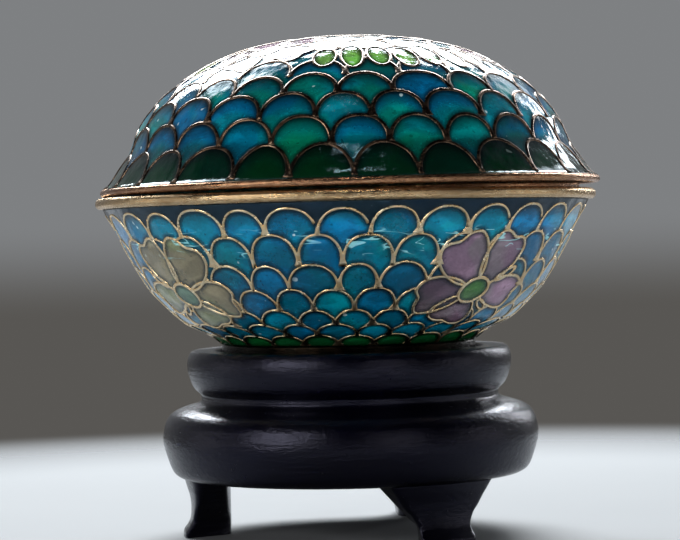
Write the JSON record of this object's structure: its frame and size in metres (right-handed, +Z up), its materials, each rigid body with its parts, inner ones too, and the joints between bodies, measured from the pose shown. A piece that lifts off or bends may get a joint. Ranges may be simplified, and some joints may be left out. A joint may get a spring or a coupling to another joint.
{
  "type": "plique-a-jour enamel pot",
  "caption": "Round lidded pot with translucent scale-and-flower enamel in gilt wire, a loose domed lid, and a low black turned stand on three feet.",
  "frame": {"origin": "on the surface that the feet stand on, under the axis of the pot", "axes": "+Z up, -Y towards the front of the pot, +X to the right seen from the front"},
  "size_m": [0.0889, 0.088, 0.087],
  "materials": {
    "enamel": "gloss",
    "gilt_wire": "satin",
    "lacquer": "gloss"
  },
  "bodies": {
    "root": {"bowl_enamel": "enamel", "lid_enamel": "enamel", "bowl_rim": "gilt_wire", "bowl_foot_ring": "gilt_wire", "lid_rim": "gilt_wire", "stand_body": "lacquer", "stand_leg_right": "lacquer", "stand_leg_rear": "lacquer", "stand_leg_left": "lacquer"}
  },
  "joints": []
}
